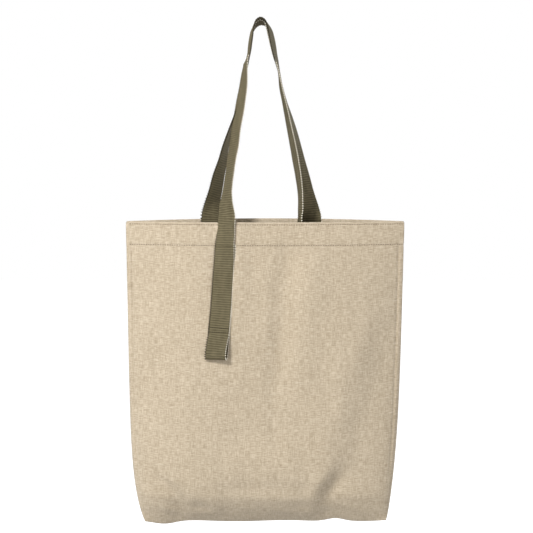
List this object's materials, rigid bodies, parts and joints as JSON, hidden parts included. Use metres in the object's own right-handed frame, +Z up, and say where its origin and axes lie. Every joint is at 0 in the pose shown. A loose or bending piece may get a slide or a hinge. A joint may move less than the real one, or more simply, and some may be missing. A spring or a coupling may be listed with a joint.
{
  "type": "canvas tote bag",
  "caption": "Soft open-topped canvas shopping bag with a boxed base, webbing handles and a doubled webbing tail with a loop, hanging by its handles.",
  "frame": {"origin": "where the inner handle bears on the peg that the bag hangs from", "axes": "+Z up, +X to the right seen from the front, the front panel faces -Y"},
  "size_m": [0.406, 0.0756, 0.7336],
  "materials": {
    "canvas": "plain woven linen and cotton, unbleached, matt",
    "canvas_fold": "the same cloth, folded and pressed",
    "canvas_thread": "matt sewing thread",
    "webbing": "ribbed olive webbing with one pale selvedge, matt",
    "webbing_thread": "dark sewing thread"
  },
  "bodies": {
    "bag": {"front_panel": "canvas", "back_panel": "canvas", "front_hem": "canvas_fold", "back_hem": "canvas_fold", "left_side_seam": "canvas_fold", "right_side_seam": "canvas_fold", "base_seam": "canvas_fold", "left_corner_seam": "canvas_fold", "right_corner_seam": "canvas_fold", "front_rim_stitching": "canvas_thread", "back_rim_stitching": "canvas_thread", "front_hem_stitching": "canvas_thread", "back_hem_stitching": "canvas_thread", "front_left_handle_end": "webbing", "front_right_handle_end": "webbing", "back_left_handle_end": "webbing", "back_right_handle_end": "webbing"},
    "front_handle": {"front_handle": "webbing"},
    "back_handle": {"back_handle": "webbing"},
    "tail": {"tail_loop": "webbing", "tail_upper_stitching": "webbing_thread", "tail_lower_stitching": "webbing_thread"}
  },
  "joints": [
    {"name": "front_handle_fold", "type": "hinge", "parent": "bag", "child": "front_handle", "pos_m": [0, -0.031, -0.289], "axis": [1, 0, 0], "range_deg": [0, 120]},
    {"name": "back_handle_fold", "type": "hinge", "parent": "bag", "child": "back_handle", "pos_m": [0, 0.017, -0.2815], "axis": [1, 0, 0], "range_deg": [-150, 0]},
    {"name": "tail_lift", "type": "hinge", "parent": "bag", "child": "tail", "pos_m": [-0.0515, -0.0338, -0.3293], "axis": [1, 0, 0], "range_deg": [-60, 0]}
  ]
}
